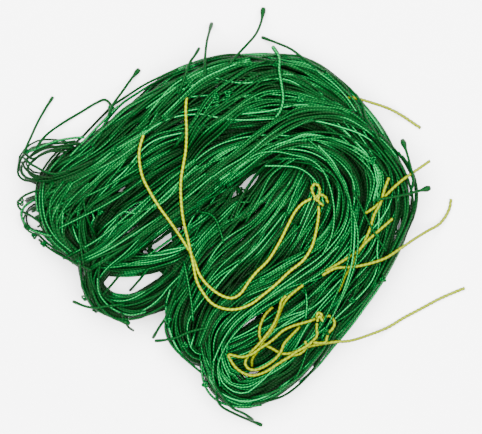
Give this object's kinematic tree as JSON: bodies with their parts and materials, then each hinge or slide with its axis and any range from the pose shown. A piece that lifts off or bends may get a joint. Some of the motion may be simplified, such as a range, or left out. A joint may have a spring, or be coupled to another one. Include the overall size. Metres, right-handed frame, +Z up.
{
  "type": "folded trellis netting",
  "caption": "A soft net of green twisted twine with a yellow edge cord, gathered into a hank and laid in back-and-forth folds, with loose twine ends and a tangled cord end.",
  "frame": {"origin": "on the resting surface, under the middle of the hank's outline", "axes": "+Z up from the surface, +X along the hank's longest extent, +Y to the far side of the heap as it is looked down on"},
  "size_m": [0.2918, 0.2743, 0.0361],
  "materials": {
    "green_twine": "twisted polyethylene twine, green, slightly shiny fibres",
    "yellow_cord": "twisted polyethylene cord, pale yellow-green, slightly shiny fibres"
  },
  "bodies": {
    "root": {"net_hank": "green_twine", "edge_cord_inner": "yellow_cord", "edge_cord_outer": "yellow_cord", "edge_cord_top_end": "yellow_cord", "edge_cord_end_1": "yellow_cord", "edge_cord_end_2": "yellow_cord", "edge_cord_end_3": "yellow_cord", "edge_cord_end_4": "yellow_cord", "tie_long": "yellow_cord", "tie_fold_1": "yellow_cord", "tie_fold_2": "yellow_cord", "tie_fold_3": "yellow_cord", "tie_end_1": "yellow_cord", "tie_end_2": "yellow_cord", "twine_end_1": "green_twine", "twine_end_2": "green_twine", "twine_end_3": "green_twine", "twine_end_4": "green_twine", "twine_end_5": "green_twine", "twine_end_6": "green_twine", "twine_end_7": "green_twine", "twine_end_8": "green_twine", "twine_end_9": "green_twine", "twine_end_10": "green_twine", "twine_end_11": "green_twine", "twine_end_12": "green_twine", "twine_end_13": "green_twine", "twine_end_14": "green_twine", "twine_end_15": "green_twine", "twine_end_16": "green_twine", "twine_end_17": "green_twine", "edge_cord_knot": "yellow_cord", "tie_knot": "yellow_cord"}
  },
  "joints": []
}
